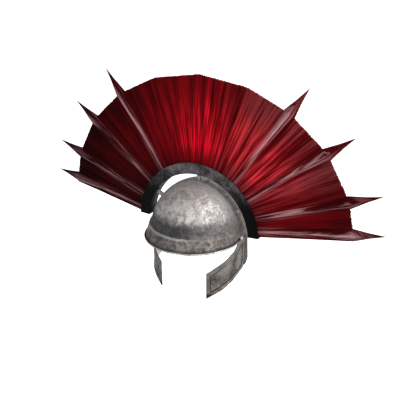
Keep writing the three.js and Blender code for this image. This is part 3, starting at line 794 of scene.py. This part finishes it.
def fan_point(column, row):
    """Rows run up the back from the seat to the rim, down the front and across under the seat."""
    turn = mix(-1, 1, column / FAN_COLUMNS)
    row %= 2 * FAN_ROWS + 2
    step = row if row <= FAN_ROWS else 2 * FAN_ROWS + 1 - row
    side = 1 if row <= FAN_ROWS else -1
    seat = arc_point(turn * seat_angle, seat_radius, 0)
    mouth = arc_point(turn * seat_angle, BOX_RADIUS, 0)
    rim = rim_point(turn)
    if step == 0:
        return seat + Vector((0, side * root_half, 0))
    out = (step - 1) / (FAN_ROWS - 1)
    half = mix(root_half, CREST_RIM_HALF, look_up(FAN_THINNING, "out", "thinned", out))
    lift = STRAND_WEIGHT * strand_lift[column]
    for clump in CLUMPS:
        at = Vector((turn * clump["across"], out * clump["out"], clump["slice"]))
        lift += clump["weight"] * noise.noise(at)
    lift *= STRAND_RELIEF * min(1, RELIEF_RISE * out) * mix(1, RIM_RELIEF_LEFT, out)
    reach = out + TRIM_UNEVEN * strand_length[column] * out / FAN_DEPTH
    place = mouth.lerp(rim, min(reach, LONGEST_REACH))
    return place + Vector((0, side * (half + lift), 0))


def add_hair_map(piece, column_of, tone_of, sheen_of):
    """Gives a hair piece its map, across and along the strands, its tone of painted light and shade
    and its painted sheen.
    """
    layer = piece.data.uv_layers.new(name="strands")
    tone = piece.data.attributes.new("tone", "FLOAT", "POINT")
    sheen = piece.data.attributes.new("sheen", "FLOAT", "POINT")
    across = []
    for vertex in piece.data.vertices:
        flat = Vector((vertex.co.x, vertex.co.z - ARC_HEIGHT))
        radius, angle = flat.length, math.atan2(flat.x, flat.y)
        across.append((column_of(vertex, angle), radius))
        tone.data[vertex.index].value = tone_of(angle, radius)
        sheen.data[vertex.index].value = sheen_of(vertex, angle, radius)
    for loop in piece.data.loops:
        layer.data[loop.index].uv = across[loop.vertex_index]


# The tone is painted light and shade: brightest over the crown, darker toward both ends, at the
# roots and toward the trimmed edge
PAINTED_LIGHT = [
    {"turn": -1.0, "tone": 0.1}, {"turn": -0.8, "tone": 0.14}, {"turn": -0.6, "tone": 0.22},
    {"turn": -0.4, "tone": 0.36}, {"turn": -0.2, "tone": 0.68}, {"turn": -0.05, "tone": 1.0},
    {"turn": 0.08, "tone": 1.0}, {"turn": 0.25, "tone": 0.84}, {"turn": 0.55, "tone": 0.94},
    {"turn": 0.8, "tone": 0.55}, {"turn": 1.0, "tone": 0.36},
]
PAINTED_LIGHT_OUT = [
    {"out": 0, "tone": 0.45}, {"out": 0.22, "tone": 1.0}, {"out": 0.6, "tone": 0.95},
    {"out": 0.85, "tone": 0.62}, {"out": 1, "tone": 0.5}, {"out": 1.4, "tone": 0.4},
]
MAP_RADIUS = 0.25


# Painted light and shade of the hair, by its turn and how far out it lies
def painted_light_tone(angle, radius):
    out = max(0, (radius - BOX_RADIUS) / (CREST_RADIUS - BOX_RADIUS))
    along = look_up(PAINTED_LIGHT, "turn", "tone", angle / CREST_END_ANGLE)
    return along * look_up(PAINTED_LIGHT_OUT, "out", "tone", out)


def close_ends(obj):
    """Closes the skin and fills the holes that are left at its ends."""
    close_skin(obj)
    edit_mode(obj)
    bpy.ops.mesh.fill_holes(sides=0)
    turn_faces_out()
    object_mode()


fan = add_grid("crest_fan", FAN_COLUMNS, 2 * FAN_ROWS + 2, fan_point)
close_ends(fan)
smooth(fan, below=50)
# Painted sheen beside each lock, by how far out it lies
FAN_SHEEN = [
    {"out": 0, "sheen": 0.35}, {"out": 0.25, "sheen": 0.8}, {"out": 0.6, "sheen": 0.6},
    {"out": 1, "sheen": 0.15},
]
FAN_SHEEN_WIDTH = 0.006
# A faint painted sheen over the right side
FAN_FAINT_SHEEN = [{"turn": 0.12, "faint_sheen": 0}, {"turn": 0.32, "faint_sheen": 0.07}, {"turn": 0.72, "faint_sheen": 0.07},
            {"turn": 0.82, "faint_sheen": 0}]
# Painted shade dims the sheen on the left side
SHADED_SIDE = 0.55


def fan_sheen(vertex, angle, radius):
    """Strands beside a lock share its painted sheen, dimmed on the left side as painted shade; the
    right side has a faint painted sheen of its own.
    """
    out = max(0, (radius - BOX_RADIUS) / (CREST_RADIUS - BOX_RADIUS))
    gloss = 0
    for row in CREST_OUTLINE:
        if row["tip"]:
            aside = (abs(angle) - row["turn"] * CREST_END_ANGLE) * radius / FAN_SHEEN_WIDTH
            gloss = max(gloss, math.exp(-aside * aside))
    side = SHADED_SIDE if angle < 0 else 1
    faint_sheen = look_up(FAN_FAINT_SHEEN, "turn", "faint_sheen", angle / CREST_END_ANGLE)
    return max(faint_sheen, gloss * side * look_up(FAN_SHEEN, "out", "sheen", out))


add_hair_map(fan, lambda vertex, angle: angle * MAP_RADIUS, painted_light_tone, fan_sheen)

# Shadow to Bright are the reds of the painted light and shade; Grey and the sheen colour give the
# painted sheen
HAIR_COLOURS = {
    "Shadow": (0.006, 0.0002, 0.0005, 1), "Red": (0.24, 0.002, 0.005, 1),
    "Bright": (0.96, 0.007, 0.028, 1), "Sheen Colour": (0.66, 0.36, 0.39, 1),
    "Grey": (0.05, 0.006, 0.009, 1),
}
STREAKS = [
    {"across": 95.0, "along": 5.0, "detail": 3.0, "span": (0.37, 0.64), "gives": (0, 0.5)},
    {"across": 330.0, "along": 9.0, "detail": 3.0, "span": (0.38, 0.62), "gives": (0, 0.35)},
    {"across": 1100.0, "along": 22.0, "detail": 1.0, "span": (0.3, 0.7), "gives": (0, 0.15)},
]
STREAK_GAIN = 1.2
STREAK_LEAST = 0.08
RED_SPAN = (0.02, 0.62)
BRIGHT_SPAN = (0.52, 1.05)
GLOSS_SPAN = (0.3, 0.64)
GREY_SHARE = 0.55
HAIR_RELIEF = 0.0009


def make_strands_group():
    """Strands of hair that run along the map's second axis: colour and height."""
    group, source, target = make_group(
        "hair_strands",
        {"Map": "Vector", "Painted Light": "Float", "Sheen": "Float", **dict.fromkeys(HAIR_COLOURS, "Color")},
        {"Colour": "Color", "Height": "Float"},
    )
    parts = []
    for row in STREAKS:
        stretch = {0: source["Map"], 1: (row["across"], row["along"], 1)}
        stretched = add_node(group, "VectorMath", stretch, operation="MULTIPLY").outputs[0]
        streaks = add_node(group, "TexNoise", {
            "Vector": stretched, "Scale": 1.0, "Detail": row["detail"], "Roughness": 0.55,
        }).outputs["Fac"]
        parts.append(add_pattern(group, streaks, row, smooth_step=False))
    wide, narrow, hair = parts
    clumped = add_math(group, "ADD", wide, narrow)
    streak = add_math(group, "ADD", clumped, hair)
    lift = add_math(group, "MULTIPLY_ADD", streak, STREAK_GAIN, STREAK_LEAST)
    # The tone is painted light and shade, laid over the streaks
    lit = add_math(group, "MULTIPLY", lift, source["Painted Light"])
    colour = add_mix(group, add_range(group, lit, *RED_SPAN, smooth_step=False),
                     source["Shadow"], source["Red"])
    colour = add_mix(group, add_range(group, lit, *BRIGHT_SPAN), colour, source["Bright"])
    # Where the painted sheen lies, the red is greyed and streaked with the sheen colour as a painted
    # highlight
    gloss = add_math(group, "MULTIPLY", add_range(group, clumped, *GLOSS_SPAN), source["Sheen"])
    dull = add_math(group, "MULTIPLY", source["Sheen"], GREY_SHARE)
    colour = add_mix(group, dull, colour, source["Grey"])
    colour = add_mix(group, gloss, colour, source["Sheen Colour"])
    group.links.new(colour, target["Colour"])
    group.links.new(streak, target["Height"])
    return group


def make_hair(name, group):
    material, tree, shader = new_material(name, Roughness=0.62, Specular_IOR_Level=0.03)
    node = add_node(tree, "Group", node_tree=group)
    set_inputs(tree, node, {
        "Map": add_node(tree, "UVMap", uv_map="strands").outputs["UV"],
        "Painted Light": add_node(tree, "Attribute", attribute_name="tone").outputs["Fac"],
        "Sheen": add_node(tree, "Attribute", attribute_name="sheen").outputs["Fac"],
        **HAIR_COLOURS,
    })
    tree.links.new(node.outputs["Colour"], shader.inputs["Base Color"])
    bump = add_node(tree, "Bump", {"Height": node.outputs["Height"], "Distance": HAIR_RELIEF})
    tree.links.new(bump.outputs["Normal"], shader.inputs["Normal"])
    return material


crest_hair = make_hair("crest_hair", make_strands_group())
fan.data.materials.append(crest_hair)
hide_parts("crest")
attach(fan, "helmet")

# CREST LOCKS
# Eight thicker locks of the same hair stand out of the fan's faces, four to a side. Each is waxed
# to a sharp fold front and back, and is drawn to a point well past the trimmed edge.
LOCK_TIP_RADIUS = 0.402
LOCK_WIDTH = 0.026
LOCK_THICKNESS = 0.030
LOCK_ROOT_THICKNESS = 0.017
LOCK_ROOT_WIDTH = 0.007
LOCK_SIDE_STEPS = 9
LOCK_ROWS = 64
LOCK_RELIEF = 0.0007
RELIEF_SPREAD = 1.5
WAVE_SCALES = Vector((0.9, 5, 9))
TIP_FADE = 4
LEAST_THICKNESS = 0.004
LEAST_WIDTH = 0.001
SHEEN_FALL = 0.8
MAP_SHIFT = 0.3
LOCK_CORNERS = [
    {"aside": 0, "forth": -1}, {"aside": -1, "forth": 0}, {"aside": 0, "forth": 1},
    {"aside": 1, "forth": 0}, {"aside": 0, "forth": -1},
]
LOCK_FORM = [
    {"out": 0, "width": LOCK_ROOT_WIDTH, "thick": LOCK_ROOT_THICKNESS},
    {"out": 0.5, "width": mix(LOCK_ROOT_WIDTH, LOCK_WIDTH, 0.45),
     "thick": mix(LOCK_ROOT_THICKNESS, LOCK_THICKNESS, 0.35)},
    {"out": 1, "width": LOCK_WIDTH, "thick": LOCK_THICKNESS},
    {"out": 1.5, "width": LOCK_WIDTH * 0.42, "thick": LOCK_THICKNESS * 0.42},
    {"out": 2, "width": 0, "thick": 0},
]
# Painted highlight along each lock's fold, by how far out it lies; the left side's locks get less, as
# painted shade
LOCK_SHEEN = [
    {"out": 0, "sheen": 0.35}, {"out": 0.3, "sheen": 1.0}, {"out": 0.75, "sheen": 0.95},
    {"out": 1.1, "sheen": 0.5}, {"out": 1.45, "sheen": 0.12}, {"out": 2, "sheen": 0.05},
]
lock_columns = 4 * LOCK_SIDE_STEPS
locks = []
for side in (-1, 1):
    for row in CREST_OUTLINE:
        if not row["tip"]:
            continue
        angle = side * row["turn"] * CREST_END_ANGLE
        rim_radius = row["rim"] * CREST_RADIUS
        tip_radius = row["tip"] * LOCK_TIP_RADIUS
        ridges = [hair_random.uniform(-1, 1) for _ in range(lock_columns)]

        def lock_point(column, step):
            out = 2 * step / LOCK_ROWS
            if out <= 1:
                radius = mix(BOX_RADIUS + FIT_GAP, rim_radius, out)
            else:
                radius = mix(rim_radius, tip_radius, out - 1)
            width = look_up(LOCK_FORM, "out", "width", out)
            thick = look_up(LOCK_FORM, "out", "thick", out)
            quarter, part = divmod(column % lock_columns, LOCK_SIDE_STEPS)
            edge = mix_rows(LOCK_CORNERS[quarter], LOCK_CORNERS[quarter + 1], part / LOCK_SIDE_STEPS)
            lift = ridges[column % lock_columns] * min(1, width / LOCK_WIDTH * RELIEF_SPREAD)
            lift += noise.noise(Vector((column, out, angle)) * WAVE_SCALES)
            lift *= LOCK_RELIEF * min(1, TIP_FADE * (2 - out)) / max(thick, LEAST_THICKNESS)
            forth = edge["forth"] * (1 + lift)
            turned = angle + edge["aside"] * width / 2 / radius
            return arc_point(turned, radius, forth * thick / 2)

        lock = add_grid("crest_lock", lock_columns, LOCK_ROWS, lock_point)
        close_ends(lock)
        smooth(lock, below=35)

        # The lock's painted sheen is strongest along its fold
        def lock_sheen(vertex, at, radius):
            if radius <= rim_radius:
                out = (radius - BOX_RADIUS) / (rim_radius - BOX_RADIUS)
            else:
                out = 1 + (radius - rim_radius) / (tip_radius - rim_radius)
            width = max(look_up(LOCK_FORM, "out", "width", out), LEAST_WIDTH)
            fall = max(0, 1 - SHEEN_FALL * abs(at - angle) * radius / (width / 2))
            lightness = SHADED_SIDE if side < 0 else 1
            return lightness * look_up(LOCK_SHEEN, "out", "sheen", out) * fall

        add_hair_map(
            lock, lambda vertex, at: vertex.co.y + (at - angle) * MAP_RADIUS + MAP_SHIFT * angle,
            painted_light_tone, lock_sheen,
        )
        lock.data.materials.append(crest_hair)
        locks.append(lock)
select_only(*locks)
bpy.ops.object.join()
locks = bpy.context.object
locks.name = locks.data.name = "crest_locks"
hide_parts("crest")
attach(locks, "helmet")

# CHEEK GUARDS
# Each guard is cut from iron sheet and bent to the cheek. Its panel is sunk by a chased line inside
# a plain border, and a barrel on its upper edge turns on the hinge pin.
GUARD_REAR = EAR_REAR - 0.0015
GUARD_REACH = 0.088
GUARD_DROP = 0.123
GUARD_TURN_IN = 0.044
GUARD_CURVE = 5.5
GUARD_THICKNESS = 0.0024
GUARD_HALF_WIDTH = 0.09995
PANEL_RECESS = 0.0009
BORDER_WIDTH = 0.0085
CHASED_WIDTH = 0.0018
BARREL_RADIUS = 0.003
BORE_RADIUS = 0.0015
HINGE_PLACE = (0.09695, 0.0023)
BARREL_RANGE = (0.00138, 0.00992)
BARREL_EDGE_ROUND = 0.0003
WEB_MIDDLE = -0.0018
WEB_HEIGHT = 0.0062
GUARD_CUTS = 64
GUARD_EDGE_ROUND = 0.0005
GUARD_DENT = 0.0005
GUARD_DENTS_PER_METRE = 70
SLOPE_STEP = 0.001
GUARD_RELIEF = 0.0004
# The guard's lowest tip is darkened nearly black as painted shade
GUARD_TIP_PAINTED_SHADE = {"heights": (-0.107, -0.115), "colour": (0.006, 0.0055, 0.005, 1)}
GUARD_FINISHES = [
    {"name": "guard_border", "dark": (0.09, 0.08, 0.074, 1), "light": (0.27, 0.25, 0.237, 1),
     "blotch": 60.0, "mark": 200.0, "contrast": 0.9, "darkened": GUARD_TIP_PAINTED_SHADE},
    # The chased line is darkened as painted shade in the recess's corner
    {"name": "guard_chased_line", "dark": (0.01, 0.008, 0.007, 1), "light": (0.04, 0.035, 0.03, 1),
     "blotch": 60.0, "mark": 200.0, "contrast": 1.0, "darkened": None},
    {"name": "guard_edge_rubbed", "dark": (0.13, 0.12, 0.113, 1), "light": (0.38, 0.36, 0.35, 1),
     "blotch": 60.0, "mark": 200.0, "contrast": 1.0, "darkened": GUARD_TIP_PAINTED_SHADE},
    {"name": "guard_panel", "dark": (0.04, 0.034, 0.031, 1), "light": (0.29, 0.258, 0.236, 1),
     "blotch": 38.0, "mark": 170.0, "contrast": 1.0, "darkened": GUARD_TIP_PAINTED_SHADE},
    # The inner face is made nearly white as a painted highlight
    {"name": "guard_inside", "dark": (0.66, 0.64, 0.62, 1), "light": (0.97, 0.95, 0.93, 1),
     "blotch": 40.0, "mark": 170.0, "contrast": 0.8, "darkened": GUARD_TIP_PAINTED_SHADE},
]
GUARD_OUTLINE = [
    {"forward": 0.3, "drop": 0.022}, {"forward": 0.38, "drop": 0.1},
    {"forward": 0.5, "drop": 0.165}, {"forward": 0.618, "drop": 0.195},
    {"forward": 0.766, "drop": 0.278}, {"forward": 0.908, "drop": 0.39},
    {"forward": 1, "drop": 0.517}, {"forward": 1, "drop": 1},
    {"forward": 0.913, "drop": 0.895}, {"forward": 0.824, "drop": 0.828},
    {"forward": 0.677, "drop": 0.733}, {"forward": 0.491, "drop": 0.678},
    {"forward": 0.228, "drop": 0.625}, {"forward": 0.031, "drop": 0.59},
    {"forward": 0.02, "drop": 0.45}, {"forward": 0, "drop": 0.26},
    {"forward": 0, "drop": 0.022},
]


def guard_half_width(y):
    share = max(0, GUARD_REAR - y) / GUARD_REACH
    return GUARD_HALF_WIDTH - GUARD_TURN_IN * share**GUARD_CURVE


guard_curve = [{"along": 0.0, "y": GUARD_REAR}]
for i in range(1, GUARD_CUTS + 1):
    y = GUARD_REAR - GUARD_REACH * i / GUARD_CUTS
    before = guard_curve[-1]
    step = math.hypot(guard_half_width(y) - guard_half_width(before["y"]), y - before["y"])
    guard_curve.append({"along": before["along"] + step, "y": y})
guard_rows = [{"forward": GUARD_REAR - row["y"], "along": row["along"]} for row in guard_curve]

flat_guard = [
    Vector((look_up(guard_rows, "forward", "along", row["forward"] * GUARD_REACH), 0,
            -row["drop"] * GUARD_DROP))
    for row in GUARD_OUTLINE
]
guard = add_outline("cheek_plate_left", flat_guard)
edit_mode(guard)
bpy.ops.mesh.extrude_region_move(TRANSFORM_OT_translate={"value": (0, GUARD_THICKNESS, 0)})
turn_faces_out()
bpy.ops.mesh.select_mode(type="FACE")
select_faces(guard, lambda centre, normal: normal.y < -FACING)
bpy.ops.mesh.inset(thickness=BORDER_WIDTH)
bpy.ops.mesh.inset(thickness=CHASED_WIDTH, depth=-PANEL_RECESS)
object_mode()
finish_index = {}
for i, row in enumerate(GUARD_FINISHES):
    finish = make_iron(row["name"], row, GUARD_RELIEF, row["darkened"], Metallic=0.72)
    guard.data.materials.append(finish)
    finish_index[row["name"]] = i
for face in guard.data.polygons:
    sunk = face.center.y > PANEL_RECESS / 2
    if face.normal.y < -FACING:
        face.material_index = finish_index["guard_panel" if sunk else "guard_border"]
    elif face.normal.y > FACING:
        face.material_index = finish_index["guard_inside"]
    elif 0 < face.center.y < PANEL_RECESS:
        face.material_index = finish_index["guard_chased_line"]
round_edges(guard, GUARD_EDGE_ROUND, sharper_than=50, material=finish_index["guard_edge_rubbed"])
edit_mode(guard)
for i in range(1, GUARD_CUTS):
    bpy.ops.mesh.select_all(action="SELECT")
    bpy.ops.mesh.bisect(plane_co=(guard_curve[i]["along"], 0, 0), plane_no=(1, 0, 0))
for i in range(1, GUARD_CUTS):
    bpy.ops.mesh.select_all(action="SELECT")
    bpy.ops.mesh.bisect(plane_co=(0, 0, -GUARD_DROP * i / GUARD_CUTS), plane_no=(0, 0, 1))
object_mode()
guard_bend = [{"along": row["along"], "y": row["y"]} for row in guard_curve]
for vertex in guard.data.vertices:
    along, depth, height = vertex.co
    y = look_up(guard_bend, "along", "y", along)
    rise = guard_half_width(y + SLOPE_STEP) - guard_half_width(y - SLOPE_STEP)
    outward = Vector((2 * SLOPE_STEP, -rise, 0)).normalized()
    dent = GUARD_DENT * noise.noise(Vector((along, height, 0)) * GUARD_DENTS_PER_METRE)
    vertex.co = Vector((guard_half_width(y), y, height)) - outward * (depth + dent)
edit_mode(guard)
bpy.ops.mesh.normals_make_consistent(inside=False)
object_mode()
smooth(guard, below=30)

inner_end, outer_end = BARREL_RANGE
barrel_profile = [
    {"radius": BORE_RADIUS, "y": inner_end},
    {"radius": BARREL_RADIUS - BARREL_EDGE_ROUND, "y": inner_end},
    {"radius": BARREL_RADIUS, "y": inner_end + BARREL_EDGE_ROUND},
    {"radius": BARREL_RADIUS, "y": outer_end - BARREL_EDGE_ROUND},
    {"radius": BARREL_RADIUS - BARREL_EDGE_ROUND, "y": outer_end},
    {"radius": BORE_RADIUS, "y": outer_end},
    {"radius": BORE_RADIUS, "y": inner_end},
]
around = 2 * math.pi / POST_SIDES
barrel = add_grid(
    "guard_barrel", POST_SIDES, len(barrel_profile) - 1,
    lambda column, step: Vector((
        HINGE_PLACE[0] + barrel_profile[step]["radius"] * math.cos(column * around),
        barrel_profile[step]["y"],
        HINGE_PLACE[1] + barrel_profile[step]["radius"] * math.sin(column * around),
    )),
)
close_skin(barrel)
smooth(barrel, below=35)
bpy.ops.object.select_all(action="DESELECT")
bpy.ops.mesh.primitive_cube_add(
    size=1,
    location=(GUARD_HALF_WIDTH - GUARD_THICKNESS / 2, (inner_end + outer_end) / 2, WEB_MIDDLE),
    scale=(GUARD_THICKNESS, outer_end - inner_end, WEB_HEIGHT),
)
web = bpy.context.object
bpy.ops.object.transform_apply(location=True, scale=True)
round_edges(web, BARREL_EDGE_ROUND, sharper_than=30)
select_only(guard, barrel, web)
bpy.ops.object.join()

select_only(guard)
bpy.ops.object.duplicate()
guard_right = bpy.context.object
guard_right.name = guard_right.data.name = "cheek_plate_right"
guard_right.data.transform(Matrix.Scale(-1, 4, (1, 0, 0)))
guard_right.data.flip_normals()
for piece, side in ((guard, "left"), (guard_right, "right")):
    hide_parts("cheek_guard_" + side)
    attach(piece, side + "_guard")

# HINGES
# Inside each side of the bowl a small iron leaf, riveted flat, ends in two barrels, and a plain
# pin joins them to the guard's barrel between them.
HINGE_TONES = {"dark": (0.1, 0.095, 0.09, 1), "light": (0.4, 0.385, 0.37, 1),
               "blotch": 140.0, "mark": 420.0, "contrast": 1.0}
HINGE_RELIEF = 0.0002

hinge_iron = make_iron("hinge_iron", HINGE_TONES, HINGE_RELIEF, Metallic=0.65)
for side in ("left", "right"):
    for node in ("hinge_leaf_", "hinge_pin_"):
        carried = bpy.data.objects[node + side]
        for material_slot in carried.material_slots:
            material_slot.material = hinge_iron
